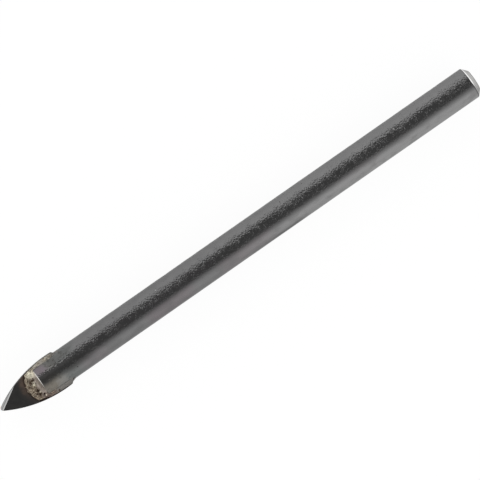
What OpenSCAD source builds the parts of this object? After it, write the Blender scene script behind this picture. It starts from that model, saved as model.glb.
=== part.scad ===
// Glass and tile drill bit: a spear-shaped carbide plate brazed into a slotted round shank.
// The bit lies on its shank, with its axis along X, its point at -X, the plate level and Z up.
// Lengths are in millimetres and angles in degrees.

/* [Overall] */
// Length from the chisel edge to the chuck end
overall_length = 90; // [75:1:120]

/* [Shank] */
// Diameter of the shank
shank_d = 5.3; // [4.8:0.1:5.6]
// Length of the chamfer round the chuck end
end_chamfer_length = 0.8; // [0.3:0.05:1.5]
// Depth of that chamfer below the surface of the shank
end_chamfer_depth = 0.9; // [0.3:0.05:1.5]
// Distance from the chisel edge to the ends of the two cheeks
cheek_start = 7.3; // [6.5:0.1:9]
// Depth that the cheeks are relieved by at their ends
cheek_relief = 0.06; // [0.02:0.01:0.12]
// Edge break round the ends of the cheeks
cheek_edge_break = 0.12; // [0.05:0.01:0.25]

/* [Carbide tip] */
// Drilling diameter, across the widest point of the flanks
drill_d = 6; // [5.8:0.1:6.6]
// Thickness of the carbide plate
plate_thickness = 2; // [1.6:0.1:2.4]
// Distance from the chisel edge to the widest point of the flanks
widest_at = 10.2; // [9.4:0.1:11]
// Distance from the chisel edge to the shoulders
shoulder_at = 11.35; // [11:0.05:13]
// Length of the slanted corners behind the shoulders
rear_corner = 0.9; // [0.6:0.05:1.2]
// Half of the width between the flanks, level with the chisel edge
point_half_width = 0.2; // [0.1:0.02:0.4]
// Angle between each ground lip and the axis
lip_angle = 32; // [28:1:40]
// Relief angle behind each ground lip
lip_relief = 17; // [8:1:20]

/* [Braze] */
// Thickness of the film between the plate and the slot
film = 0.08; // [0.04:0.01:0.15]
// Reach of each pool over the plate, from the cheek towards the point
pool_reach = 2.3; // [1.5:0.05:3]
// Radius of the pool's front edge, seen square to the plate
pool_radius = 3.8; // [3.4:0.1:5]
// Height of the pool against the end of the cheek
pool_height = 1.3; // [0.8:0.05:1.4]
// Height that the ledge fillets climb beside the cheeks
ledge_height = 0.38; // [0.3:0.02:0.7]
// Rim of bare plate outside the braze
bare_rim = 0.1; // [0.05:0.01:0.2]
// Half of the angle that each hollow fillet turns through
fillet_bend = 12; // [6:1:16]

/* [Hidden] */

$fa = 2;
$fs = 0.1;

shank_r = shank_d / 2;
cheek_r = shank_r - cheek_relief;
plate_face = plate_thickness / 2;
plate_half = drill_d / 2;
plate_end = shoulder_at + rear_corner;
slot_end = plate_end + film;
slot_width = plate_thickness + 2 * film;
pool_centre = cheek_start - pool_reach + pool_radius;
ledge_top = plate_face + ledge_height;

// Each flank is one arc, from the chisel edge's half-width out to the widest point
flank_rise = plate_half - point_half_width;
flank_radius = (widest_at ^ 2 + flank_rise ^ 2) / (2 * flank_rise);

steel = [0.42, 0.42, 0.43];
carbide = [0.19, 0.19, 0.2];
brazing_metal = [0.68, 0.6, 0.42];

// Children are drawn from the chisel edge: X along the axis towards the chuck end, Z square to the plate
module from_point() {
    translate([-overall_length / 2, 0, shank_r]) children();
}

// Children, and the same turned half round the axis
module both_faces() {
    for (turn = [0, 180]) rotate([turn, 0, 0]) children();
}

// Children, and their mirror image across the axis
module both_sides() {
    for (side = [0, 1]) mirror([0, side, 0]) children();
}

// Outline of the spear, drawn in by inset: two flank arcs, and rear corners slanted at 45 degrees
module spear_outline(inset = 0) {
    half = plate_half - inset;
    end = plate_end - inset;
    intersection() {
        translate([widest_at, half - flank_radius]) circle(r = flank_radius);
        translate([widest_at, flank_radius - half]) circle(r = flank_radius);
        polygon([
            [-rear_corner, -half - rear_corner],
            [end - 2 * rear_corner, -half - rear_corner],
            [end, rear_corner - half],
            [end, half - rear_corner],
            [end - 2 * rear_corner, half + rear_corner],
            [-rear_corner, half + rear_corner]
        ]);
    }
}

// Ground half-space behind one lip: it crosses the axis at the chisel edge and slopes inwards to the front face
module lip_ground_away() {
    block = 2 * drill_d;
    rotate([0, 0, 90 + lip_angle])
        rotate([0, 90 - lip_relief, 0])
            translate([-block / 2, -block / 2, 0]) cube(block);
}

module spear_plate() {
    difference() {
        linear_extrude(plate_thickness, center = true) spear_outline();
        both_faces() lip_ground_away();
    }
}

// The turned rod before its slot is sawn
module shank_blank() {
    rotate([0, 90, 0]) rotate_extrude() polygon([
        [0, cheek_start],
        [cheek_r - cheek_edge_break, cheek_start],
        [cheek_r, cheek_start + cheek_edge_break],
        [shank_r, slot_end],
        [shank_r, overall_length - end_chamfer_length],
        [shank_r - end_chamfer_depth, overall_length],
        [0, overall_length]
    ]);
}

module slot() {
    translate([0, -shank_d, -slot_width / 2]) cube([slot_end, 2 * shank_d, slot_width]);
}

// Section of a fillet from its foot on the plate to its head on the steel, hollowed by one arc
module hollow_fillet(foot, head) {
    chord = head - foot;
    arc_r = norm(chord) / (2 * sin(fillet_bend));
    arc_centre = (foot + head) / 2 + [chord.y, -chord.x] / (2 * tan(fillet_bend));
    difference() {
        polygon([[0, foot.y], foot, head, [0, head.y]]);
        translate(arc_centre) circle(r = arc_r);
    }
}

// Pool in front of one cheek: a hollow mound with a round front edge, which also fills the cheek's edge break
module pool() {
    intersection() {
        translate([pool_centre, 0, 0]) rotate_extrude()
            hollow_fillet([pool_radius, plate_face], [pool_centre - cheek_start, plate_face + pool_height]);
        linear_extrude(shank_d) intersection() {
            spear_outline(bare_rim);
            translate([0, -drill_d]) square([cheek_start + cheek_edge_break, 2 * drill_d]);
        }
    }
}

// Fillet along one ledge, from the rim of the plate in to the side of the cheek
module ledge_fillet() {
    foot = [plate_half - bare_rim, plate_face];
    head = [sqrt(cheek_r ^ 2 - ledge_top ^ 2), ledge_top];
    intersection() {
        translate([cheek_start, 0, 0]) rotate([90, 0, 90])
            linear_extrude(plate_end - cheek_start) hollow_fillet(foot, head);
        linear_extrude(shank_d) spear_outline(bare_rim);
    }
}

// Air beside the flanks, where the braze leaves the edges of the plate bare
module beside_flanks() {
    translate([0, -drill_d, -plate_face]) cube([shoulder_at, 2 * drill_d, plate_thickness]);
}

module slotted_shank() {
    difference() {
        shank_blank();
        slot();
    }
}

module shank() {
    color(steel) from_point() slotted_shank();
}

module carbide_tip() {
    color(carbide) from_point() spear_plate();
}

// One run of metal: a film that fills the slot round the plate, the pools and the ledge fillets
module braze() {
    color(brazing_metal) from_point() difference() {
        union() {
            intersection() {
                shank_blank();
                slot();
            }
            both_faces() {
                pool();
                both_sides() ledge_fillet();
            }
        }
        slotted_shank();
        spear_plate();
        beside_flanks();
    }
}

shank();
carbide_tip();
braze();
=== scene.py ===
"""Glass and tile drill bit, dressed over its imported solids.

In the formulas s is the distance along the bit from the chisel edge, y the distance across the plate
from the axis, and z the distance square to the plate from the axis. All are in metres, apart from
what a wire's ramp and band take, and the tables of lumps and pits, which are in millimetres.
"""

import math
from types import SimpleNamespace

import bmesh
import bpy
import numpy as np
from mathutils import Matrix, Vector


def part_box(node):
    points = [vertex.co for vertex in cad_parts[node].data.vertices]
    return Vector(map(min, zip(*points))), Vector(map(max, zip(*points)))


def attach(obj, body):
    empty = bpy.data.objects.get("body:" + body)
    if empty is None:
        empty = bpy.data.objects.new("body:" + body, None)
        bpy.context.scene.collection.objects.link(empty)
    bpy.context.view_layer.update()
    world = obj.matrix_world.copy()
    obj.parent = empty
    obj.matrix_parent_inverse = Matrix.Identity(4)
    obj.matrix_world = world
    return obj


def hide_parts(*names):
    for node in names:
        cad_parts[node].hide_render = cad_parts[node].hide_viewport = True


bl_info = {
    "name": "Glass and tile drill bit",
    "version": (1, 0, 0),
    "blender": (4, 5, 0),
    "location": "View3D > Sidebar > Drill bit",
    "description": "Builds a brazed carbide drill bit for glass and tile, with its light and camera",
    "category": "Add Mesh",
}

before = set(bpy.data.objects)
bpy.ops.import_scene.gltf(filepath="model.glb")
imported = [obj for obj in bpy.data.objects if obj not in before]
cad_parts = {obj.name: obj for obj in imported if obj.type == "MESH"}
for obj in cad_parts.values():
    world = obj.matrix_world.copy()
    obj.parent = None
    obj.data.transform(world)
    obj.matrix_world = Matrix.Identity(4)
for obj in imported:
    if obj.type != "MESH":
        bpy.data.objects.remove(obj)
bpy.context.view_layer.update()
SHANK_LO, SHANK_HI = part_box("shank")
TIP_LO, TIP_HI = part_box("carbide_tip")
_, BRAZE_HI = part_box("braze")

MM = 0.001
MERGE_DISTANCE = 2e-7
SLIVER_LENGTH = 1e-8
POINT_X = TIP_LO.x
AXIS_Z = (SHANK_LO.z + SHANK_HI.z) / 2

# Linear colours of the marks on each finish, and of its glints. The main colours are settings.
STEEL_TONES = SimpleNamespace(
    cloud=(0.115, 0.116, 0.12),
    rubbed=(0.24, 0.239, 0.239),
    # The next two are paler metal along the -Y side, partly painted light
    pale_and_painted_light=(0.3, 0.299, 0.299),
    low_edge_and_painted_light=(0.38, 0.379, 0.378),
    blotch=(0.12, 0.119, 0.118),
    # Darker tone along the -Y edge of the rod, over part of its length
    dark_low_side=(0.06, 0.06, 0.06),
    washed=(0.26, 0.255, 0.244),
    dull=(0.092, 0.091, 0.087),
    mottle=(0.06, 0.057, 0.053),
    # Painted shade: darkens a band just towards -Y from the middle of the rod, behind the cheeks
    painted_shade_band=(0.075, 0.073, 0.07),
    # Painted light: lifts the middle of the rod, where it mirrors the dim overhead
    core=(0.3, 0.297, 0.294),
    # Painted light: a lighter band just towards +Y from the middle of the rod, near the cheeks
    painted_light=(0.5, 0.49, 0.485),
    # Bare steel of the cheeks' edge break, brighter at +Y as a partly painted highlight
    edge=(0.72, 0.7, 0.66),
    groove=(0.24, 0.237, 0.232),
    # Painted shade: the cut end darker on its -Y side
    worn=(0.21, 0.209, 0.207),
    # Burr painted white on the +Y side only: partly painted highlight
    burr_and_highlight=(1, 0.995, 0.985),
    rim=(0.07, 0.07, 0.072),
    pit=(0.035, 0.03, 0.03),
    nick=(0.62, 0.615, 0.61),
    glint=(0.67, 0.67, 0.67, 1),
)
CARBIDE_TONES = SimpleNamespace(
    patch=(0.06, 0.0575, 0.056),
    soot=(0.04, 0.024, 0.018),
    flank=(0.026, 0.024, 0.022),
    smoked=(0.2, 0.194, 0.183),
    fresh=(0.36, 0.345, 0.315),
    lip_middle=(0.3, 0.3, 0.297),
    lip_back=(0.44, 0.437, 0.432),
    glint=(0.6, 0.6, 0.6, 1),
)
BRAZE_TONES = SimpleNamespace(
    dull_gold=(0.29, 0.225, 0.16),
    speck=(0.17, 0.115, 0.08),
    inner_skin=(0.29, 0.275, 0.25),
    outer_skin=(0.36, 0.342, 0.3),
    fresh_skin=(0.47, 0.442, 0.39),
    # Oxide at -Y and at the plate's back, raised in part as painted light
    lower_skin_and_painted_light=(0.205, 0.199, 0.189),
    pit=(0.17, 0.117, 0.08),
    glint=(0.6, 0.6, 0.6, 1),
)

# Pinkish patches along the rod: first and last place in the frame's X in millimetres, and strength
BLUSH_PATCHES = ((-30.5, -26.5, 0.5), (-18, -10, 1), (-4.2, 5.5, 0.95), (18.5, 25.5, 0.5))

# The run of brazing metal on one face
# The cream mark is partly painted highlight, on the blobs and behind the cheek's end
BRAZE_MARKS = ("pit", "ash", "crust", "smoke", "cream_and_highlight")
BED_HEIGHT = 0.26 * MM
SLOPE_LENGTH = 1.05 * MM
SLOPE_POWER = 1.9
LIP_ROUND = 0.28 * MM
RIM_ROUND = 0.22 * MM
LEDGE_SAG = 0.42
SEAM_DEPTH = 0.03 * MM
GRAIN_COUNT = 420
SMALL_PIT_COUNT = 24
# Ranges of the small pits: along, across and radius in millimetres, and depth as a part of the height
SMALL_PITS = ((5.3, 6.6), (-2.2, 1.6), (0.05, 0.12), (0.2, 0.5))


def length(name, text, default):
    """A property that holds a length in metres."""
    return bpy.props.FloatProperty(
        name=name, description=text, default=default, min=0, unit="LENGTH", precision=5
    )


def angle(name, text, degrees):
    """A property that holds an angle."""
    return bpy.props.FloatProperty(
        name=name, description=text, default=math.radians(degrees), subtype="ANGLE"
    )


def share(name, text, default):
    """A property that holds a plain number."""
    return bpy.props.FloatProperty(name=name, description=text, default=default, precision=3)


def colour(name, text, default):
    """A property that holds a linear colour."""
    return bpy.props.FloatVectorProperty(
        name=name, description=text, default=default, size=3, subtype="COLOR", min=0, max=1
    )


class ShankSettings(bpy.types.PropertyGroup):
    """Sizes and colours of the slotted steel shank."""

    radius: length("Radius", "Radius of the plain shank", (SHANK_HI.z - SHANK_LO.z) / 2)
    end: length("End", "Distance from the chisel edge to the chuck end", SHANK_HI.x - POINT_X)
    cheek_start: length("Cheek start", "Distance to the ends of the cheeks", SHANK_LO.x - POINT_X)
    cheek_relief: length("Cheek relief", "Depth of the relief at the cheeks' ends", 0.06 * MM)
    edge_break: length("Edge break", "Size of the break round the cheeks' ends", 0.12 * MM)
    slot_end: length("Slot end", "Distance to the bottom of the slot", BRAZE_HI.x - POINT_X)
    slot_half: length("Slot half", "Half of the slot's width", (TIP_HI.z - TIP_LO.z) / 2 + 0.08 * MM)
    chamfer_length: length("Chamfer length", "Length of the chuck end's chamfer", 0.8 * MM)
    chamfer_depth: length("Chamfer depth", "Depth of the chuck end's chamfer", 0.9 * MM)
    relief: length("Relief", "Height of the drawn surface's long waves", 0.005 * MM)
    steel: colour("Steel", "Dark satin skin of the rod", (0.176, 0.175, 0.176))
    bare: colour("Bare steel", "Cut steel of the chamfer and the chuck end", (0.52, 0.516, 0.508))
    blush: colour("Blush", "Pinkish patches of the skin", (0.181, 0.165, 0.171))
    violet: colour("Violet", "Heat tint beside the braze", (0.186, 0.158, 0.178))
    straw: colour("Straw", "Heat tint behind the violet one", (0.178, 0.163, 0.14))
    teal: colour("Teal", "Heat tint furthest from the braze", (0.144, 0.153, 0.149))


class TipSettings(bpy.types.PropertyGroup):
    """Sizes and colours of the carbide plate."""

    half: length("Half width", "Half of the drilling diameter", TIP_HI.y)
    face: length("Face", "Half of the plate's thickness", (TIP_HI.z - TIP_LO.z) / 2)
    end: length("End", "Distance from the chisel edge to the plate's back", TIP_HI.x - POINT_X)
    widest_at: length("Widest at", "Distance to the widest point of the flanks", 10.2 * MM)
    rear_corner: length("Rear corner", "Size of the slanted rear corners", 0.9 * MM)
    point_half: length("Point half width", "Half-width between the flanks at the point", 0.2 * MM)
    lip_angle: angle("Lip angle", "Angle between each lip and the axis", 32)
    lip_relief: angle("Lip relief", "Relief angle behind each lip", 17)
    offset: length("Offset", "Distance that the plate sits off the axis, towards -Y", 0.06 * MM)
    carbide: colour("Carbide", "Dark sintered faces", (0.05, 0.0485, 0.048))
    ground: colour("Ground carbide", "Bright ground lips", (0.6, 0.596, 0.59))
    stain: colour("Stain", "Reddish flux stain beside the braze", (0.19, 0.137, 0.107))


class BrazeSettings(bpy.types.PropertyGroup):
    """Sizes and colours of the brazing metal."""

    pool_reach: length("Pool reach", "Reach of each pool in front of its cheek", 2.3 * MM)
    pool_radius: length("Pool radius", "Radius of the pool's front edge", 3.8 * MM)
    pool_height: length("Pool height", "Height of the pool against the cheek", 1.3 * MM)
    ledge_height: length("Ledge height", "Height of the fillets beside the cheeks", 0.38 * MM)
    rim: length("Bare rim", "Rim of bare plate outside the braze", 0.1 * MM)
    gold: colour("Gold", "Clean brazing metal", (0.5, 0.42, 0.315))
    # Cream of the bright grains and of the marked patches, which are partly painted highlight
    cream_and_highlight: colour("Cream", "Bright grains of brazing metal", (0.97, 0.915, 0.74))
    ash: colour("Ash", "Greyish skin of the smooth fillet", (0.43, 0.38, 0.345))
    rust: colour("Rust", "Reddish-brown flux crust", (0.225, 0.168, 0.143))
    soot: colour("Soot", "Dark bottoms of the pits", (0.1, 0.065, 0.046))


class StageSettings(bpy.types.PropertyGroup):
    """Camera, light and floor."""

    distance: length("Distance", "Distance from the camera to the bit", 1.0)
    field: length("Field", "Width of the field of view at the bit", 74.7 * MM)
    slope: angle("Slope", "Angle at which the bit rises across the picture", 34.88)
    nod: angle("Nod", "Tilt of the point towards the camera", 5)
    roll: angle("Roll", "Turn of the bit about its axis", 3)
    aim: bpy.props.FloatVectorProperty(
        name="Aim",
        description="Point in the middle of the picture",
        default=(0.585 * MM, 0.364 * MM, AXIS_Z),
        size=3,
        subtype="XYZ",
        unit="LENGTH",
    )
    shade: share("Shade", "Strength of the studio overhead", 0.163)
    glow: share("Glow", "Strength of the light panels at both sides", 1.08)
    floor: share("Floor", "Part of the floor's white that takes a shadow", 0.14)


class DrillBitSettings(bpy.types.PropertyGroup):
    """All settings of the drill bit."""

    shank: bpy.props.PointerProperty(type=ShankSettings)
    tip: bpy.props.PointerProperty(type=TipSettings)
    braze: bpy.props.PointerProperty(type=BrazeSettings)
    stage: bpy.props.PointerProperty(type=StageSettings)


def smooth(low, high, value):
    """Smooth step: nought at low, one at high, 3t^2 - 2t^3 between them, in either order."""
    t = np.clip((value - low) / (high - low), 0, 1)
    return t * t * (3 - 2 * t)


def rounded(t):
    """Quarter-circle rise from nought to one as t goes from nought to one."""
    t = np.clip(t, 0, 1)
    return np.sqrt(t * (2 - t))


def ripple(points, shortest, longest, seed, count=64):
    """Sum of plane waves with seeded directions, phases and wavelengths, scaled to a spread of one.

    Each wave is cos(2 pi direction . point / wavelength + phase) times its wavelength, so that all
    the waves have the same slope.
    """
    draw = np.random.default_rng(seed)
    heading = draw.normal(size=(count, points.shape[-1]))
    heading /= np.linalg.norm(heading, axis=1, keepdims=True)
    wave = shortest * (longest / shortest) ** draw.random(count)
    phase = draw.random(count) * 2 * np.pi
    turns = points @ (heading / wave[:, None]).T * (2 * np.pi) + phase
    return np.cos(turns) @ wave / np.sqrt((wave**2).sum() / 2)


def grains(s, y, centres, radii, heights):
    """Highest of many round grains at each point: height * sqrt(1 - (distance / radius)^2)."""
    across = (s[..., None] - centres[:, 0]) ** 2 + (y[..., None] - centres[:, 1]) ** 2
    return (heights * np.sqrt(np.clip(1 - across / radii**2, 0, 1))).max(-1)


def dent(s, y, hole, power):
    """Soft round dip: depth * exp(-power (distance / radius)^2).

    The hole's place and radius are in millimetres.
    """
    along, across, radius, depth = hole
    gone = np.hypot(s - along * MM, y - across * MM) / (radius * MM)
    return np.exp(-(gone**2) * power) * depth


def place(s, y, z):
    """Points in the frame from distances along the bit, across the plate and square to it."""
    s, y, z = np.broadcast_arrays(s, y, z)
    return np.stack([POINT_X + s, y, AXIS_Z + z], -1)


def half_turn(points):
    """The same points turned half round the bit's axis: y and z change sign."""
    turned = points * np.array([1, -1, -1])
    turned[..., 2] += 2 * AXIS_Z
    return turned


def make_piece(name, sheets, node, slot, finish, sharp, **marks):
    """Joins grids of points into one closed mesh that stands for a node of the frame.

    Neighbouring points of a grid make quads. Points that coincide are merged, which closes seams and
    poles. Edges over the sharp angle, in degrees, stay sharp. Each mark is a list with one array of
    values per grid, kept as a point attribute.
    """
    points = np.concatenate([sheet.reshape(-1, 3) for sheet in sheets])
    quads = []
    start = 0
    for sheet in sheets:
        rows, columns = sheet.shape[:2]
        index = np.arange(rows * columns).reshape(rows, columns) + start
        corners = [index[:-1, :-1], index[:-1, 1:], index[1:, 1:], index[1:, :-1]]
        quads.append(np.stack(corners, -1).reshape(-1, 4))
        start += rows * columns
    quads = np.concatenate(quads)
    mesh = bpy.data.meshes.new(name)
    mesh.vertices.add(len(points))
    mesh.vertices.foreach_set("co", points.astype(np.float32).ravel())
    mesh.loops.add(quads.size)
    mesh.loops.foreach_set("vertex_index", quads.astype(np.int32).ravel())
    mesh.polygons.add(len(quads))
    mesh.polygons.foreach_set("loop_start", np.arange(0, quads.size, 4, dtype=np.int32))
    mesh.update(calc_edges=True)
    for mark, values in marks.items():
        kept = mesh.attributes.new(mark, "FLOAT", "POINT")
        flat = np.concatenate([np.ravel(value) for value in values])
        kept.data.foreach_set("value", flat.astype(np.float32))
    shell = bmesh.new()
    shell.from_mesh(mesh)
    bmesh.ops.remove_doubles(shell, verts=shell.verts, dist=MERGE_DISTANCE)
    bmesh.ops.dissolve_degenerate(shell, edges=shell.edges, dist=SLIVER_LENGTH)
    bmesh.ops.recalc_face_normals(shell, faces=shell.faces)
    if any(not edge.is_manifold for edge in shell.edges):
        raise RuntimeError(f"{name} isn't closed")
    shell.to_mesh(mesh)
    shell.free()
    mesh.polygons.foreach_set("use_smooth", np.ones(len(mesh.polygons), bool))
    mesh.set_sharp_from_angle(angle=math.radians(sharp))
    mesh.materials.append(finish)
    piece = bpy.data.objects.new(name, mesh)
    bpy.context.scene.collection.objects.link(piece)
    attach(piece, "root")
    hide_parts(node)


class Wire:
    """An output socket in a shader tree. Python's arithmetic on it adds Math nodes."""

    def __init__(self, tree, socket=None):
        self.tree = tree
        self.socket = socket

    def add(self, kind, settings=None, inputs=None, output=0):
        """Adds a node, sets it up, fills or links its sockets, and wraps one of its outputs."""
        node = self.tree.nodes.new(kind)
        for name, value in (settings or {}).items():
            setattr(node, name, value)
        for name, value in (inputs or {}).items():
            if isinstance(value, Wire):
                self.tree.links.new(value.socket, node.inputs[name])
            else:
                node.inputs[name].default_value = value
        return Wire(self.tree, node.outputs[output] if node.outputs else None)

    def math(self, operation, first, second=0.0):
        """One Math node."""
        return self.add("ShaderNodeMath", {"operation": operation}, {0: first, 1: second})

    def __add__(self, other):
        return self.math("ADD", self, other)

    __radd__ = __add__

    def __sub__(self, other):
        return self.math("SUBTRACT", self, other)

    def __rsub__(self, other):
        return self.math("SUBTRACT", other, self)

    def __mul__(self, other):
        return self.math("MULTIPLY", self, other)

    __rmul__ = __mul__

    def __abs__(self):
        return self.math("ABSOLUTE", self)

    def most(self, other):
        """The larger of two values."""
        return self.math("MAXIMUM", self, other)

    def step(self, low, high):
        """Smooth step of this value between low and high, in either order."""
        inputs = {"Value": self, "From Min": low, "From Max": high}
        settings = {"interpolation_type": "SMOOTHSTEP"}
        return self.add("ShaderNodeMapRange", settings, inputs)

    def ramp(self, low, high):
        """Smooth step of this length between low and high in millimetres, in either order."""
        return self.step(low * MM, high * MM)

    def band(self, first, full, fade, last):
        """Smooth rise of this length from first to full and fall from fade to last, in millimetres."""
        return self.ramp(first, full) * self.ramp(last, fade)

    def tint(self, first, second):
        """Colour between two colours, with this value as the factor."""
        tones = [c if isinstance(c, Wire) else (*c, 1) for c in (first, second)]
        inputs = {0: self, 6: tones[0], 7: tones[1]}
        return self.add("ShaderNodeMix", {"data_type": "RGBA"}, inputs, 2)

    def noise(self, spot, size, detail, roughness):
        """Smooth noise on a spot vector, with features of about the given size in metres."""
        inputs = {"Vector": spot, "Scale": 1 / size, "Detail": detail, "Roughness": roughness}
        return self.add("ShaderNodeTexNoise", {}, inputs)

    def split(self, spot):
        """The three parts of a vector."""
        node = self.add("ShaderNodeSeparateXYZ", {}, {"Vector": spot}).socket.node
        return [Wire(self.tree, part) for part in node.outputs]

    def stretch(self, spot, by):
        """A vector times another, part by part."""
        return self.add("ShaderNodeVectorMath", {"operation": "MULTIPLY"}, {0: spot, 1: by})

    def apart(self, spot, centre):
        """Distance between two points."""
        settings = {"operation": "DISTANCE"}
        return self.add("ShaderNodeVectorMath", settings, {0: spot, 1: centre}, "Value")

    def bump(self, height, depth):
        """Normal of a surface raised by height times depth, in metres."""
        inputs = {"Height": height, "Distance": depth, "Strength": 1.0}
        return self.add("ShaderNodeBump", {}, inputs)


def start_finish(name):
    """A new material with its tree emptied, and a wire to build it from."""
    finish = bpy.data.materials.new(name)
    finish.use_nodes = True
    finish.node_tree.nodes.clear()
    return finish, Wire(finish.node_tree)


def end_finish(pen, **inputs):
    """Closes a material with one Principled shader whose sockets take the given values or wires."""
    named = {name.replace("_", " "): value for name, value in inputs.items()}
    shader = pen.add("ShaderNodeBsdfPrincipled", {}, named)
    pen.add("ShaderNodeOutputMaterial", {}, {"Surface": shader})


def drawn_skin_and_painted_light(pen, spot, cloud, shank):
    """Tone of the drawn rod: pinkish patches, clouds and blotches, paler towards the chuck end, with
    paler bands at -Y that are partly painted light.
    """
    x, y, z = pen.split(spot)
    blush = 0.0
    for first, last, part in BLUSH_PATCHES:
        blush = x.band(first - 1.5, first + 1, last - 1, last + 1.5) * part + blush
    streak = pen.noise(pen.stretch(spot, (0.4, 1, 1)), 1.5 * MM, 2, 0.6)
    blush = blush * (0.7 + streak.step(0.4, 0.62) * 0.5) * y.ramp(0, -1.1)
    tone = blush.tint(tuple(shank.steel), tuple(shank.blush))
    tone = (cloud.step(0.62, 0.36) * 0.25).tint(tone, STEEL_TONES.cloud)
    tone = (x.ramp(-22, 20) * 0.38).tint(tone, STEEL_TONES.rubbed)
    # Paler band at -Y and paler -Y edge towards the chuck end: partly painted light
    pale_and_painted_light = x.ramp(-4, 12) * y.ramp(-0.8, -1.5)
    tone = (pale_and_painted_light * 0.5).tint(tone, STEEL_TONES.pale_and_painted_light)
    low_edge_and_painted_light = x.ramp(10, 26) * y.ramp(-1.7, -2.4)
    tone = (low_edge_and_painted_light * 0.3).tint(tone, STEEL_TONES.low_edge_and_painted_light)
    blotch = pen.noise(pen.stretch(spot, (0.5, 1, 1)), 1.1 * MM, 2, 0.55)
    blotch = blotch.step(0.52, 0.34) * y.ramp(-0.6, -1.6)
    tone = (blotch * 0.3).tint(tone, STEEL_TONES.blotch)
    # Darker along the -Y edge, between 0 and 12.5 mm in the frame's X
    dark_low_side = x.band(0, 7, 9.5, 12.5) * y.ramp(-2.0, -2.55) * (z - AXIS_Z).ramp(-0.6, 0.1)
    return (dark_low_side * 0.75).tint(tone, STEEL_TONES.dark_low_side)


def heat_tints_and_painted_light(pen, spot, heat, behind, tone, shank):
    """Lays over a tone what brazing left on the cheeks: violet at their ends, then straw and teal.

    Washed, dull and mottled places break the tints up. Over them go painted shade, a darker band just
    towards -Y from the middle behind the cheeks; painted light, a lighter middle along the rod and a
    lighter band just towards +Y near the cheeks; and a bright edge at the cheeks' ends, brightest at
    +Y, which is partly painted highlight. Behind is the distance from the cheeks' ends, made uneven
    by the noise heat.
    """
    x, y, _ = pen.split(spot)
    tone = (behind.ramp(8.2, 5.2) * 0.7).tint(tone, tuple(shank.teal))
    warm = behind.ramp(4.2, 1.8) * (y.ramp(1.0, -1.2) * 0.6 + 0.35)
    tone = warm.tint(tone, tuple(shank.straw))
    hottest = (SHANK_LO.x + 1.0 * MM, 1.75 * MM, AXIS_Z + 1.9 * MM)
    violet = (pen.apart(spot, hottest) + (heat - 0.5) * (1.6 * MM)).ramp(1.55, 0.6)
    tone = (violet * 0.8).tint(tone, tuple(shank.violet))
    washed = behind.band(1.6, 2.6, 3.2, 4.2) * y.ramp(-0.4, -1.3)
    tone = (washed * 0.4).tint(tone, STEEL_TONES.washed)
    dull = y.band(0.7, 1.5, 1.95, 2.3) * behind.band(2.0, 2.9, 5.2, 7.5)
    dull = dull * (behind.ramp(4.4, 3.4) * 0.25 + 0.4)
    tone = dull.tint(tone, STEEL_TONES.dull)
    mottle = pen.noise(spot, 0.6 * MM, 3, 0.6).step(0.5, 0.66) * behind.ramp(7, 4.5)
    mottle = mottle * (y.ramp(0.2, 1.2) * 0.35 + 0.35) * (1 - violet)
    tone = mottle.tint(tone, STEEL_TONES.mottle)
    # Painted shade: a darker band just towards -Y from the middle of the rod, behind the cheeks
    painted_shade_band = behind.band(2.5, 5.5, 7, 10) * y.band(-1.7, -0.9, -0.3, 0.4)
    tone = (painted_shade_band * 0.5).tint(tone, STEEL_TONES.painted_shade_band)
    # Painted light: a lighter middle along the rod, stronger towards the point
    core = y.band(-0.9, -0.3, 0.7, 1.3) * (x.ramp(6, -30) * 0.16 + 0.18)
    tone = core.tint(tone, STEEL_TONES.core)
    # Painted light: a lighter band just towards +Y from the middle of the rod, near the cheeks
    painted_light = y.band(0.1, 0.6, 0.8, 1.25) * behind.ramp(7, 5)
    tone = (painted_light * 0.3).tint(tone, STEEL_TONES.painted_light)
    # Bare steel at the edge of the cheeks' ends, brightest at +Y: partly painted highlight
    edge = (x - SHANK_LO.x).ramp(0.16, 0.07) * (y.ramp(-0.9, 0.8) * 0.92 + 0.08)
    return edge.tint(tone, STEEL_TONES.edge)


def cut_end(pen, spot, tone, shank):
    """Lays over a tone the cut chuck end: lathe marks, a bright burr that is white on the +Y side only
    as a partly painted highlight, painted shade on the cut's -Y side, and the dark rim before it.

    Returns the tone, the part of the surface that is cut, and the noise of the lathe marks' bump.
    """
    x, y, _ = pen.split(spot)
    past = x - (SHANK_HI.x - shank.chamfer_length)
    cut = past.ramp(-0.02, 0.04)
    radius = pen.apart(pen.stretch(spot, (0, 1, 1)), (0, 0, AXIS_Z))
    parts = {"X": x - radius * 0.8, "Y": y * 0.04, "Z": radius * 0.3}
    ring = pen.add("ShaderNodeCombineXYZ", {}, parts)
    lathe = pen.noise(ring, 0.19 * MM, 1, 0.5)
    bare = lathe.step(0.43, 0.57).tint(STEEL_TONES.groove, tuple(shank.bare))
    # Painted shade: the cut end darker towards its -Y side
    bare = (y.ramp(-0.4, -2.0) * 0.4).tint(bare, STEEL_TONES.worn)
    tone = cut.tint(tone, bare)
    # Bright burr at the chamfer's edge, white on the +Y side only: partly painted highlight
    burr_and_highlight = past.band(-0.06, 0, 0.12, 0.2) * y.ramp(-0.9, 0.1)
    tone = burr_and_highlight.tint(tone, STEEL_TONES.burr_and_highlight)
    rim = past.ramp(-0.2, -0.09) * (1 - cut) * (1 - burr_and_highlight)
    tone = (rim * 0.6).tint(tone, STEEL_TONES.rim)
    return tone, cut, pen.noise(ring, 0.15 * MM, 2, 0.6)


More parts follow.
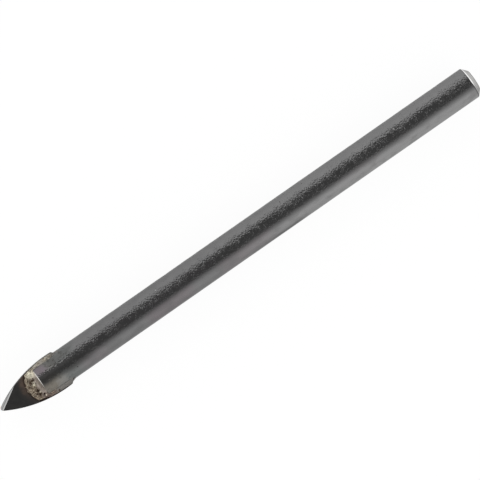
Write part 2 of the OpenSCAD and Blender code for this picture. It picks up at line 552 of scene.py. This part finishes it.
def steel_finish(shank):
    """Dark drawn steel: fine grain and pits, cut metal at the chuck end, heat tint at the cheeks, and
    lengthwise bands of painted light and shade.
    """
    finish, pen = start_finish("dark_drawn_steel")
    spot = pen.add("ShaderNodeTexCoord", output="Object")
    x, y, _ = pen.split(spot)
    cloud = pen.noise(spot, 2.2 * MM, 3, 0.55)
    heat = pen.noise(spot, 1.4 * MM, 3, 0.55)
    behind = (x - SHANK_LO.x) + (heat - 0.5) * (3.2 * MM)
    tone = drawn_skin_and_painted_light(pen, spot, cloud, shank)
    tone = heat_tints_and_painted_light(pen, spot, heat, behind, tone, shank)
    tone, cut, turning = cut_end(pen, spot, tone, shank)

    # Dark pits and bright nicks, each in some of the cells
    inputs = {"Vector": spot, "Scale": 1 / (1.5 * MM), "Randomness": 1.0}
    cells = pen.add("ShaderNodeTexVoronoi", {}, inputs).socket.node
    spread = Wire(pen.tree, cells.outputs["Distance"])
    draw, _, _ = pen.split(Wire(pen.tree, cells.outputs["Color"]))
    pit = spread.step(0.085, 0.045) * draw.step(0.7, 0.72) * (1 - cut)
    tone = (pit * 0.7).tint(tone, STEEL_TONES.pit)
    nick = spread.step(0.085, 0.04) * draw.step(0.3, 0.28) * (1 - cut)
    nick = nick * y.band(-0.3, 0.3, 1.4, 1.9)
    tone = (nick * 0.8).tint(tone, STEEL_TONES.nick)

    # Grain, roughest at +Y and away from the cheeks
    grain = pen.noise(pen.stretch(spot, (1.3, 0.85, 0.85)), 0.24 * MM, 1, 0.5)
    clump = pen.noise(spot, 0.9 * MM, 2, 0.5)
    rough = y.ramp(-0.8, 0.4) * 0.92 + 0.08
    rough = rough * (x.ramp(-40, 20) * 0.2 + 0.8) * (0.6 + clump.step(0.34, 0.66) * 0.6)
    rough = rough * (behind.ramp(1, 7) * 0.35 + 0.65)
    height = (grain - 0.5) * rough * (1 - cut) + turning * cut * 0.1 - pit * 0.25
    end_finish(
        pen,
        Base_Color=tone,
        Metallic=1.0,
        Roughness=0.17 + (cloud - 0.5) * 0.08 + cut * 0.12,
        Specular_Tint=STEEL_TONES.glint,
        Normal=pen.bump(height, 0.125 * MM),
    )
    return finish


def carbide_finish(tip, braze):
    """Dark sintered carbide with a reddish stain round the braze, and bright ground lips."""
    finish, pen = start_finish("sintered_carbide")
    spot = pen.add("ShaderNodeTexCoord", output="Object")
    x, y, z = pen.split(spot)
    s = x - POINT_X
    up = z - AXIS_Z
    cloud = pen.noise(spot, 0.7 * MM, 4, 0.6)
    grain = pen.noise(spot, 0.12 * MM, 3, 0.6)
    patchy = pen.noise(spot, 0.4 * MM, 3, 0.6)
    tone = cloud.step(0.35, 0.7).tint(tuple(tip.carbide), CARBIDE_TONES.patch)

    # Stain and soot in front of the pool
    pool_x = SHANK_LO.x - braze.pool_reach + braze.pool_radius
    reach = pen.apart(pen.stretch(spot, (1, 1, 0)), (pool_x, 0, 0))
    near = (reach + (cloud - 0.5) * (1.8 * MM)).ramp(5.2, 3.8)
    near = near * (y.ramp(-1.6, 0.9) * 0.8 + 0.2)
    tone = (near * 0.85).tint(tone, tuple(tip.stain))
    soot = (reach + (grain - 0.5) * (0.5 * MM)).ramp(4.1, 3.82)
    tone = (soot * 0.75).tint(tone, CARBIDE_TONES.soot)

    # Dark flanks, smoked where the braze lies over them
    side = abs(up).ramp(0.985, 0.95)
    tone = (side * 0.7).tint(tone, CARBIDE_TONES.flank)
    drift = s + (cloud - 0.5) * (3.2 * MM)
    smoked = drift.ramp(6.2, 8.4) * y.ramp(0, 1) * 0.95
    smoked = smoked.most((x - TIP_HI.x).ramp(-1.2, -0.7) * 0.9)
    smoked = smoked * (0.75 + patchy.step(0.4, 0.6) * 0.25)
    smoke = drift.ramp(11.2, 8.6).tint(CARBIDE_TONES.smoked, CARBIDE_TONES.fresh)
    tone = smoked.tint(tone, smoke)

    # Ground lips, with grinding lines along them
    leaned = (y + tip.offset) * math.cos(tip.lip_angle) + up * math.tan(tip.lip_relief)
    lip = (abs(leaned) - s * math.sin(tip.lip_angle)).ramp(-0.03, -0.012)
    lines = pen.noise(pen.stretch(spot, (0.05, 0.05, 1)), 0.22 * MM, 1, 0.5)
    rise = up * pen.math("SIGN", leaned) + (lines - 0.5) * (0.2 * MM)
    cut = rise.ramp(0.56, 0.46).tint(tuple(tip.ground), CARBIDE_TONES.lip_middle)
    cut = rise.ramp(0.12, -0.02).tint(cut, CARBIDE_TONES.lip_back)
    tone = lip.tint(tone, cut)
    height = grain * (1 - lip) + lines * lip * 0.15
    end_finish(
        pen,
        Base_Color=tone,
        Metallic=0.25 + lip * 0.75,
        Roughness=0.55 - lip * 0.28,
        Specular_IOR_Level=0.2,
        Specular_Tint=CARBIDE_TONES.glint,
        Normal=pen.bump(height, 0.012 * MM),
    )
    return finish


def braze_finish(braze):
    """Rough brazing metal: cream and gold grains, cream that is partly painted highlight, an ashy
    fillet, grey oxide, brown crust and pits.
    """
    finish, pen = start_finish("rough_brazing_metal")
    spot = pen.add("ShaderNodeTexCoord", output="Object")
    x, y, _ = pen.split(spot)
    pit, ash, crust, smoke, cream_and_highlight = (
        pen.add("ShaderNodeAttribute", {"attribute_name": name}, output="Fac") for name in BRAZE_MARKS
    )
    patch = pen.noise(spot, 0.55 * MM, 3, 0.6)
    speck = pen.noise(spot, 0.2 * MM, 2, 0.6)
    tone = patch.step(0.4, 0.62).tint(tuple(braze.gold), BRAZE_TONES.dull_gold)
    tone = (speck.step(0.42, 0.3) * 0.75).tint(tone, BRAZE_TONES.speck)
    tone = (ash * (0.6 + patch * 0.3)).tint(tone, tuple(braze.ash))
    tone = (crust * patch.step(0.25, 0.5)).tint(tone, tuple(braze.rust))
    bright = speck.step(0.58, 0.7) * (1 - ash * 0.8) * (y.ramp(-2.2, -1.2) * 0.6 + 0.4)
    tone = bright.tint(tone, tuple(braze.cream_and_highlight))
    # Cream where the mark lies, on the blobs and behind the cheek's end: partly painted highlight
    tone = (cream_and_highlight * (0.7 + patch)).tint(tone, tuple(braze.cream_and_highlight))

    # Grey oxide, palest at +Y along the plate's rim. At -Y and at the plate's back it is darker, with
    # its tone raised in part as painted light.
    outer = y.ramp(2.2, 2.6)
    fresh = (x - POINT_X).ramp(10.2, 9.2) * outer
    clean = y.ramp(-0.5, 0.5) * (x - TIP_HI.x).ramp(-0.8, -1.5)
    skin = outer.tint(BRAZE_TONES.inner_skin, BRAZE_TONES.outer_skin)
    skin = fresh.tint(skin, BRAZE_TONES.fresh_skin)
    # Darker oxide at -Y and at the plate's back, its tone raised in part as painted light
    skin = clean.tint(BRAZE_TONES.lower_skin_and_painted_light, skin)
    tone = (smoke * (0.75 + speck * 0.4)).tint(tone, skin)

    tone = pit.step(0.06, 0.45).tint(tone, BRAZE_TONES.pit)
    tone = pit.step(0.4, 0.9).tint(tone, tuple(braze.soot))
    height = speck * (1 - ash * 0.7) * (1 - smoke * 0.5)
    end_finish(
        pen,
        Base_Color=tone,
        Metallic=0.75 - pit * 0.5,
        Roughness=0.4 + pit * 0.3 + crust * 0.15,
        Specular_Tint=BRAZE_TONES.glint,
        Normal=pen.bump(height, 0.07 * MM),
    )
    return finish


def rod_radius(s, shank):
    """Radius of the turned rod at s: straight lines through the corners of its turned section.

    The chamfer's outer edge is eased by 0.5 (a + b - sqrt((a - b)^2 + e^2)), a smooth lesser of two.
    """
    cheek = shank.radius - shank.cheek_relief
    front = shank.cheek_start + shank.edge_break
    body = np.interp(
        s,
        [shank.cheek_start, front, shank.slot_end],
        [cheek - shank.edge_break, cheek, shank.radius],
    )
    slope = shank.chamfer_depth / shank.chamfer_length
    chamfer = shank.radius - shank.chamfer_depth + (shank.end - s) * slope
    ease = 0.05 * MM
    return (body + chamfer - np.hypot(body - chamfer, ease)) / 2


def rod_skin(s, turn, shank, worn):
    """Points of the rod's skin at distances s and angles turn, with the drawn metal's long waves.

    The radius is the turned section's, plus the waves times worn, which is nought along the edges.
    """
    r = rod_radius(s, shank)
    flat = place(s, r * np.cos(turn), r * np.sin(turn))
    waves = ripple(flat, 0.8 * MM, 2.2 * MM, seed=11) * 0.6
    waves = waves + ripple(flat, 2.5 * MM, 7 * MM, seed=12)
    waves = waves * (0.35 + 0.65 * smooth(-0.8 * MM, 0.6 * MM, flat[..., 1]))
    r = r + shank.relief * worn * waves
    return place(s, r * np.cos(turn), r * np.sin(turn))


class DRILLBIT_OT_shank(bpy.types.Operator):
    """Make the steel shank: turned skin, two cheeks, the slot between them and the chamfered end"""

    bl_idname = "drillbit.shank"
    bl_label = "Make Shank"

    def execute(self, context):
        """The skin has one sheet for each cheek and one for the plain rod.

        Flat sheets close the slot, the cheeks' ends and the chuck end.
        """
        shank = context.scene.drill_bit.shank
        arc, gap = 60, 16
        break_rows, cheek_rows, rod_rows, edge_rows, chamfer_rows = 4, 32, 430, 9, 12
        closing_rows, end_rows = 7, 14
        front = shank.cheek_start + shank.edge_break
        cut = shank.end - shank.chamfer_length
        near = np.concatenate(
            [
                shank.cheek_start + shank.edge_break * np.linspace(0, 1, break_rows)[:-1],
                np.linspace(front, shank.slot_end, cheek_rows),
            ]
        )[:, None]
        far = np.concatenate(
            [
                np.linspace(shank.slot_end, cut - 0.16 * MM, rod_rows),
                np.linspace(cut - 0.1 * MM, cut + 0.1 * MM, edge_rows),
                np.linspace(cut + 0.15 * MM, shank.end, chamfer_rows),
            ]
        )[:, None]
        mouth = np.arcsin(shank.slot_half / rod_radius(near, shank))
        part = np.linspace(0, 1, arc + 1)
        cheek_turn = mouth + (np.pi - 2 * mouth) * part
        ease = smooth(0, 0.4 * MM, near - shank.cheek_start - shank.edge_break)
        ease = ease * smooth(0, 0.4 * MM, shank.slot_end - near)
        ease = ease * smooth(0, 0.08, np.minimum(part, 1 - part))
        cheek = rod_skin(near + 0 * part, cheek_turn, shank, ease)

        open_half = mouth[-1, 0]
        side = np.linspace(-open_half, open_half, gap + 1)
        upper = open_half + (np.pi - 2 * open_half) * part
        ring = np.concatenate([upper, np.pi + side[1:-1], np.pi + upper, 2 * np.pi + side[1:]])
        ease = smooth(0, 0.4 * MM, far - shank.slot_end) * smooth(0, 0.3 * MM, cut - 0.05 * MM - far)
        body = rod_skin(far + 0 * ring, ring + 0 * far, shank, ease + 0 * ring)
        body[:, -1] = body[:, 0]

        across = 1 - 2 * part
        mouth_half = rod_radius(near, shank) * np.cos(mouth)
        wall = place(near, mouth_half * across, shank.slot_half)
        blend = np.linspace(0, 1, closing_rows)[:, None, None]
        cheek_end = cheek[0] * (1 - blend) + wall[0] * blend
        height = shank.radius * np.sin(side)[:, None]
        floor_half = shank.radius * np.cos(side)[:, None]
        slot_floor = place(shank.slot_end, floor_half * across, height)
        last = rod_radius(shank.end, shank) * np.linspace(1, 0, end_rows)[:, None]
        chuck_end = place(shank.end, last * np.cos(ring), last * np.sin(ring))
        chuck_end[0] = body[-1]
        sheets = [body, chuck_end, slot_floor]
        for sheet in (cheek, wall, cheek_end):
            sheets += [sheet, half_turn(sheet)]
        make_piece("shank_rod", sheets, "shank", "steel", steel_finish(shank), sharp=28)
        return {"FINISHED"}


def spear_half(s, tip, inset=0.0):
    """Half-width of the spear's outline at s, drawn in by inset.

    Each flank is one arc from the point's half-width out to the widest place, with centre level with
    that place; behind it a 45 degree line cuts the rear corner.
    """
    rise = tip.half - tip.point_half
    arc_r = (tip.widest_at**2 + rise**2) / (2 * rise)
    flank = tip.half - inset - arc_r + np.sqrt(arc_r**2 - (tip.widest_at - s) ** 2)
    corner = tip.half + tip.end - 2 * inset - tip.rear_corner - s
    return np.minimum(flank, corner)


class DRILLBIT_OT_carbide_tip(bpy.types.Operator):
    """Make the carbide plate: arched flanks, ground lips that meet in a chisel edge, and rear corners"""

    bl_idname = "drillbit.carbide_tip"
    bl_label = "Make Carbide Tip"

    def execute(self, context):
        """The section at s is the box |y| <= half, |z| <= face between the two ground lips.

        On the upper lip y cos(lip angle) + z tan(relief) = s sin(lip angle), and the lower lip is its
        half turn. The ring of points has a corner where each lip meets its flank.
        """
        settings = context.scene.drill_bit
        tip = settings.tip
        point_rows, flank_rows, corner_rows, edge_columns, face_columns = 25, 46, 8, 9, 25
        point_end = 4 * MM
        shoulder = tip.end - tip.rear_corner
        s = np.concatenate(
            [
                np.linspace(0, 1, point_rows) ** 1.5 * point_end,
                np.linspace(point_end, shoulder, flank_rows)[1:],
                np.linspace(shoulder, tip.end, corner_rows)[1:],
            ]
        )[:, None]
        half = spear_half(s, tip)
        along, across = np.sin(tip.lip_angle), np.cos(tip.lip_angle)
        lean = np.tan(tip.lip_relief)
        top = np.minimum(tip.face, (s * along + half * across) / lean)
        meet = np.clip((s * along - half * across) / lean, -top, top)
        part = np.linspace(0, 1, edge_columns)
        flank_z = -top + (meet + top) * part
        flank_y = half + 0 * part
        lip_z = meet + (top - meet) * part
        lip_y = np.minimum((s * along - lip_z * lean) / across, half)
        low_y = np.maximum(-(s * along + top * lean) / across, -half)
        face_y = lip_y[:, -1:] + (low_y - lip_y[:, -1:]) * np.linspace(0, 1, face_columns)
        flank = place(s, flank_y, flank_z)
        lip = place(s, lip_y, lip_z)
        face = place(s, face_y, top)
        rear_z = flank_z[-1][:, None]
        rear = place(tip.end, half[-1] * np.linspace(1, -1, face_columns), rear_z)
        sheets = [rear]
        for sheet in (flank, lip, face):
            sheets += [sheet, half_turn(sheet)]
        sheets = [sheet - (0, tip.offset, 0) for sheet in sheets]
        finish = carbide_finish(tip, settings.braze)
        make_piece("carbide_plate", sheets, "carbide_tip", "carbide", finish, sharp=12)
        return {"FINISHED"}


def braze_grid(settings):
    """Grid of one face's run: rows along s, and columns spread evenly over y between the run's edges.

    The run stops short of the plate's edges by a rim, which is widest at the pool's lower end and
    fades out along the ledges. Returns s, y and the half-width of the run.
    """
    shank, tip, braze = settings.shank, settings.tip, settings.braze
    pool_rows, ledge_rows, columns = 66, 74, 107
    start = shank.cheek_start
    first = start - braze.pool_reach - 0.3 * MM
    s = np.concatenate(
        [
            np.linspace(first, start, pool_rows),
            start + MM * np.array([0.03, 0.06, 0.1, 0.14]),
            np.linspace(start + 0.19 * MM, tip.end - 0.02 * MM, ledge_rows),
        ]
    )[:, None]
    shoulder = tip.end - tip.rear_corner
    part = np.linspace(-1, 1, columns)
    lower = smooth(shoulder, shoulder - 1.2 * MM, s)
    lower = lower + 2.2 * smooth(start + 0.5 * MM, start - 0.7 * MM, s)
    upper = smooth(start + 1.6 * MM, start, s)
    bare = np.where(part < 0, lower, upper)
    edge_y = spear_half(s, tip, braze.rim * bare + 0.01 * MM)
    y = edge_y * part
    return s + 0 * y, y, edge_y


def ledge_head(settings):
    """Distance from the axis to the heads of the ledges' fillets, on the sides of the cheeks."""
    cheek = settings.shank.radius - settings.shank.cheek_relief
    return np.sqrt(cheek**2 - (settings.tip.face + settings.braze.ledge_height) ** 2)


def braze_mounds(settings, s, y, edge_y, coarse):
    """Smooth heights of the pool and of the ledges' fillets over the plate's face.

    The pool falls from the cheek's end as (1 - run)^1.9 to a low bed with a rounded front edge. Each
    fillet falls straight from the cheek's side to the run's edge, less a sag. Returns the heights, the
    distance inside the pool's front edge, the run down the pool and the rise up the fillets.
    """
    shank, tip, braze = settings.shank, settings.tip, settings.braze
    start = shank.cheek_start
    pool_s = start - braze.pool_reach + braze.pool_radius
    inside = braze.pool_radius + coarse * (0.07 * MM) - np.hypot(s - pool_s, y)
    lip = rounded(inside / LIP_ROUND)
    rim = rounded((edge_y - np.abs(y)) / RIM_ROUND)
    cheek = shank.radius - shank.cheek_relief
    cap = np.sqrt(np.clip((cheek - shank.edge_break) ** 2 - y**2, 0, None)) - tip.face
    cap = np.clip(cap - 0.03 * MM, 0.12 * MM, braze.pool_height)
    run = np.clip((start - s) / SLOPE_LENGTH, 0, 1)
    bed = np.minimum(BED_HEIGHT, cap)
    pool = (bed + (cap - bed) * (1 - run) ** SLOPE_POWER) * lip * rim
    pool = pool * smooth(start + 0.9 * MM, start + 0.1 * MM, s)

    rise = (edge_y - np.abs(y)) / np.maximum(edge_y - ledge_head(settings), 0.1 * MM)
    rise = np.clip(rise, 0, 1)
    ledge = braze.ledge_height * (rise - LEDGE_SAG * rise * (1 - rise))
    ledge = ledge * smooth(start - 0.5 * MM, start + 0.1 * MM, s)
    ledge = ledge * smooth(tip.end, tip.end - 0.2 * MM, s)
    return np.maximum(pool, ledge), inside, run, rise


def braze_face(settings, seed, blobs, holes):
    """One face's run of brazing metal: film under the cheek, pool in front of it, fillets beside it.

    Its top is the plate's face plus a height over s and y. Grains and blobs stand on the mounds, and
    pits go down towards the plate. Returns the closed sheets and the marks for pits, ashy skin, crust,
    grey oxide and cream grains; the cream on the blobs and behind the cheek's end is partly painted
    highlight.
    """
    tip = settings.tip
    start = settings.shank.cheek_start
    draw = np.random.default_rng(seed)
    s, y, edge_y = braze_grid(settings)
    spot = np.stack([s, y], -1)
    coarse = ripple(spot, 0.5 * MM, 1.5 * MM, seed + 1)
    fine = ripple(spot, 0.16 * MM, 0.4 * MM, seed + 2)
    height, inside, run, rise = braze_mounds(settings, s, y, edge_y, coarse)

    # Oxide lies on the ledges and keeps the grains low there
    beside = smooth(start - 0.2 * MM, start + 0.5 * MM, s)
    lower = smooth(0.9 * MM, 1.9 * MM, s - start)
    smoke = beside * np.where(y > 0, 0.75 + 0.25 * coarse, lower)
    smoke = np.clip(np.maximum(smoke, smooth(3.0 * MM, 4.0 * MM, s - start)), 0, 1)
    rough = np.clip(smooth(0.45, 0.85, run) + smooth(0.05, 0.3, rise * (s > start)), 0, 1)
    rough = rough * (1 - 0.75 * smoke)
    cover = np.clip(height / (0.12 * MM), 0, 1) * rough

    first = s[0, 0]
    grain_s = first + draw.random(GRAIN_COUNT) * (tip.end - first)
    grain_y = draw.uniform(-3, 3, GRAIN_COUNT) * MM
    radii = (0.09 + 0.13 * draw.random(GRAIN_COUNT) ** 2) * MM
    heights = radii * (0.35 + 0.4 * draw.random(GRAIN_COUNT))
    bumps = grains(s, y, np.stack([grain_s, grain_y], -1), radii, heights)
    height = height + cover * (bumps + fine * (0.02 * MM) + coarse * (0.025 * MM))
    for along, across, radius, tall in blobs:
        centre = np.array([[along, across]]) * MM
        lump = grains(s, y, centre, np.array([radius * MM]), np.array([tall * MM]))
        height = np.maximum(height, height * 0.6 + lump * (height > 0.02 * MM))

    small = np.stack([draw.uniform(low, high, SMALL_PIT_COUNT) for low, high in SMALL_PITS], -1)
    warp_s = s + fine * (0.045 * MM)
    warp_y = y + ripple(spot, 0.16 * MM, 0.4 * MM, seed + 3) * (0.045 * MM)
    pit = np.zeros_like(height)
    for hole in (*holes, *small):
        pit = np.maximum(pit, dent(warp_s, warp_y, hole, 1.6))
    height = height * (1 - np.clip(pit, 0, 0.92))

    # Under the cheek the run is a film, and all round it the top and the base meet in a seam
    covered = (s > start + 0.05 * MM) & (np.abs(y) < ledge_head(settings) - 0.25 * MM)
    height = np.where(covered, np.minimum(height, 0.07 * MM), height)
    top = tip.face + height - SEAM_DEPTH * (1 - np.clip(height / (0.05 * MM), 0, 1))
    base = np.full_like(top, tip.face - 0.05 * MM)
    seam = np.ones_like(top, bool)
    seam[1:-1, 1:-1] = False
    top[seam] = tip.face - SEAM_DEPTH
    base[seam] = tip.face - SEAM_DEPTH

    ash = smooth(0.95, 0.6, run) * (s < start + 0.1 * MM) * smooth(1.9 * MM, 1.4 * MM, y)
    crust = smooth(-1.3 * MM, -1.9 * MM, y) * smooth(start - 1.2 * MM, start - 0.5 * MM, s)
    crust = np.maximum(crust, smooth(0.5 * MM, 0.1 * MM, inside) * smooth(0, 0.8, coarse) * 0.8)
    for hole in holes:
        crust = np.maximum(crust, dent(warp_s, warp_y, hole, 0.35) * 0.9)
    back = (s - start + 0.7 * MM) / (0.65 * MM)
    side = (y - 2.0 * MM) / (0.6 * MM)
    # Cream patch behind the cheek's end at +Y, and cream on the blobs: partly painted highlight
    cream_and_highlight = np.exp(-(back**2) - side**2)
    for along, across, radius, _ in blobs:
        cream_and_highlight = np.maximum(cream_and_highlight, dent(s, y, (along, across, radius, 0.9), 2))
    marks = zip(BRAZE_MARKS, (pit, ash, crust * (1 - smoke), smoke, cream_and_highlight))
    return [place(s, y, top), place(s, y, base)], {name: [mark] * 2 for name, mark in marks}


class DRILLBIT_OT_braze(bpy.types.Operator):
    """Make the brazing metal: a lumpy run on each face of the plate and the fill behind it"""

    bl_idname = "drillbit.braze"
    bl_label = "Make Braze"

    front_seed = 21
    back_seed = 37
    # Blobs: along, across, radius and height in millimetres
    front_blobs = (
        (6.68, 2.1, 0.3, 0.22),
        (6.34, 0.36, 0.36, 0.42),
        (6.2, 0.84, 0.11, 0.16),
        (6.47, 0.76, 0.12, 0.2),
        (6.5, -1.12, 0.19, 0.2),
        (7.0, -2.05, 0.16, 0.14),
        (10.18, 2.6, 0.24, 0.18),
        (8.1, 2.5, 0.16, 0.12),
    )
    back_blobs = ((6.4, 1.2, 0.32, 0.25), (5.9, -0.6, 0.3, 0.22), (9.6, -2.6, 0.24, 0.18))
    # Pits: along, across and radius in millimetres, and depth as a part of the height
    front_holes = (
        (6.05, 0.95, 0.27, 0.68),
        (6.35, 0.98, 0.2, 0.6),
        (6.6, 1.05, 0.22, 0.66),
        (6.15, 0.6, 0.19, 0.62),
        (5.85, 1.3, 0.12, 0.7),
        (6.32, -0.78, 0.26, 0.98),
        (6.36, -1.4, 0.25, 0.95),
        (5.95, -1.15, 0.16, 0.8),
        (5.6, 0.2, 0.12, 0.6),
        (6.85, -1.75, 0.16, 0.8),
        (9.13, -2.6, 0.16, 0.9),
    )
    back_holes = ((5.8, 0.4, 0.2, 0.9), (6.3, -1.3, 0.18, 0.85), (9.0, 2.55, 0.15, 0.8))

    def execute(self, context):
        """The fill behind the plate lies between the slot's bottom and the plate's back and corners.

        At -Y it swells out by a slope behind the plate's shoulder.
        """
        settings = context.scene.drill_bit
        shank, tip, braze = settings.shank, settings.tip, settings.braze
        sheets, marks = braze_face(settings, self.front_seed, self.front_blobs, self.front_holes)
        back, back_marks = braze_face(settings, self.back_seed, self.back_blobs, self.back_holes)
        sheets += [half_turn(sheet) for sheet in back]
        sheets = [sheet - (0, tip.offset, 0) for sheet in sheets]
        rows, columns = 13, 61
        swelling = 0.24 * MM
        gap = 0.004 * MM
        z = np.linspace(-shank.slot_half, shank.slot_half, rows)[:, None]
        part = np.linspace(-1, 1, columns)
        y = np.sqrt(shank.radius**2 - z**2) * part
        swell = y - swelling * np.clip(-part, 0, 1) ** 8 * np.cos(z / shank.slot_half)
        slant = np.clip(np.abs(swell + tip.offset) - (tip.half - tip.rear_corner), 0, None)
        before = place(tip.end - slant, swell, z)
        behind = place(shank.slot_end - gap, y, z)
        fill = [before, behind]
        for side in (np.s_[0], np.s_[-1], np.s_[:, 0], np.s_[:, -1]):
            fill.append(np.stack([before[side], behind[side]]))
        sheets += fill
        for name, mark in marks.items():
            mark += back_marks[name] + [np.full(sheet.shape[:2], name == "smoke") for sheet in fill]
        finish = braze_finish(braze)
        make_piece("braze_run", sheets, "braze", "brazing_metal", finish, sharp=60, **marks)
        return {"FINISHED"}


def light_world(stage):
    """Studio all round: dim overhead, a sharp-edged panel at +Y, a soft one at -Y, bright ends.

    The camera sees white.
    """
    world = bpy.data.worlds.new("studio")
    world.use_nodes = True
    world.node_tree.nodes.clear()
    pen = Wire(world.node_tree)
    heading = pen.add("ShaderNodeTexCoord", output="Generated")
    x, y, _ = pen.split(heading)
    sharp_panel = y.step(0.64, 0.76)
    soft_panel = y.step(-0.23, -0.99)
    ends = abs(x).step(0.45, 0.95)
    panel = sharp_panel.most(soft_panel).most(ends)
    light = panel * (stage.glow - stage.shade) + stage.shade
    seen = pen.add("ShaderNodeLightPath", output="Is Camera Ray")
    strength = light * (1 - seen) + seen
    shader = pen.add("ShaderNodeBackground", {}, {"Color": (1, 1, 1, 1), "Strength": strength})
    pen.add("ShaderNodeOutputWorld", {}, {"Surface": shader})
    return world


def floor_finish(stage):
    """White floor: mostly its own white to the camera and in reflections; the rest takes a shadow."""
    finish, pen = start_finish("white_floor")
    rays = pen.add("ShaderNodeLightPath").socket.node.outputs
    seen = Wire(pen.tree, rays["Is Camera Ray"])
    for name in ("Is Glossy Ray", "Is Transmission Ray"):
        seen = seen.most(Wire(pen.tree, rays[name]))
    plain = pen.add("ShaderNodeBsdfDiffuse", {}, {"Color": (0.8, 0.8, 0.8, 1)})
    faint = pen.add("ShaderNodeBsdfDiffuse", {}, {"Color": (stage.floor,) * 3 + (1,)})
    glow = pen.add("ShaderNodeEmission", {}, {"Strength": 1 - stage.floor * 0.5})
    shown = pen.add("ShaderNodeAddShader", {}, {0: faint, 1: glow})
    shader = pen.add("ShaderNodeMixShader", {}, {0: seen, 1: plain, 2: shown})
    pen.add("ShaderNodeOutputMaterial", {}, {"Surface": shader})
    return finish


class DRILLBIT_OT_stage(bpy.types.Operator):
    """Make the floor, the studio light and the camera"""

    bl_idname = "drillbit.stage"
    bl_label = "Make Stage"

    def execute(self, context):
        """The camera leans off the vertical by the nod and the roll.

        It also turns about its own view, so that the bit's axis rises across the picture by the slope.
        """
        scene = context.scene
        stage = scene.drill_bit.stage
        scene.world = light_world(stage)
        scene.view_settings.view_transform = "Standard"

        half = 3
        corners = [(-half, -half, 0), (half, -half, 0), (half, half, 0), (-half, half, 0)]
        mesh = bpy.data.meshes.new("floor")
        mesh.from_pydata(corners, [], [(0, 1, 2, 3)])
        mesh.materials.append(floor_finish(stage))
        floor = bpy.data.objects.new("floor", mesh)
        scene.collection.objects.link(floor)

        to_camera = Vector((-math.sin(stage.nod), math.sin(stage.roll), 0))
        to_camera.z = math.sqrt(1 - to_camera.length_squared)
        along = Vector((1, 0, 0))
        along = (along - to_camera * along.dot(to_camera)).normalized()
        over = to_camera.cross(along)
        turn = math.cos(stage.slope), math.sin(stage.slope)
        right = along * turn[0] - over * turn[1]
        up = along * turn[1] + over * turn[0]
        lens = bpy.data.cameras.new("camera")
        lens.sensor_width = 36
        lens.lens = lens.sensor_width * stage.distance / stage.field
        lens.clip_start = 0.05
        lens.clip_end = 20
        camera = bpy.data.objects.new("camera", lens)
        scene.collection.objects.link(camera)
        axes = Matrix((right, up, to_camera)).transposed().to_4x4()
        camera.matrix_world = Matrix.Translation(Vector(stage.aim) + to_camera * stage.distance) @ axes
        scene.camera = camera
        return {"FINISHED"}


class DRILLBIT_PT_parts(bpy.types.Panel):
    """Lists the operators that make the bit"""

    bl_idname = "DRILLBIT_PT_parts"
    bl_label = "Drill bit"
    bl_space_type = "VIEW_3D"
    bl_region_type = "UI"
    bl_category = "Drill bit"

    def draw(self, context):
        for maker in MAKERS:
            self.layout.operator(maker.bl_idname)


MAKERS = (DRILLBIT_OT_shank, DRILLBIT_OT_carbide_tip, DRILLBIT_OT_braze, DRILLBIT_OT_stage)
CLASSES = (
    ShankSettings,
    TipSettings,
    BrazeSettings,
    StageSettings,
    DrillBitSettings,
    *MAKERS,
    DRILLBIT_PT_parts,
)


def register():
    for each in CLASSES:
        bpy.utils.register_class(each)
    bpy.types.Scene.drill_bit = bpy.props.PointerProperty(type=DrillBitSettings)


def unregister():
    del bpy.types.Scene.drill_bit
    for each in reversed(CLASSES):
        bpy.utils.unregister_class(each)


def main():
    register()
    bpy.ops.drillbit.shank()
    bpy.ops.drillbit.carbide_tip()
    bpy.ops.drillbit.braze()
    bpy.ops.drillbit.stage()


if __name__ == "__main__":
    main()
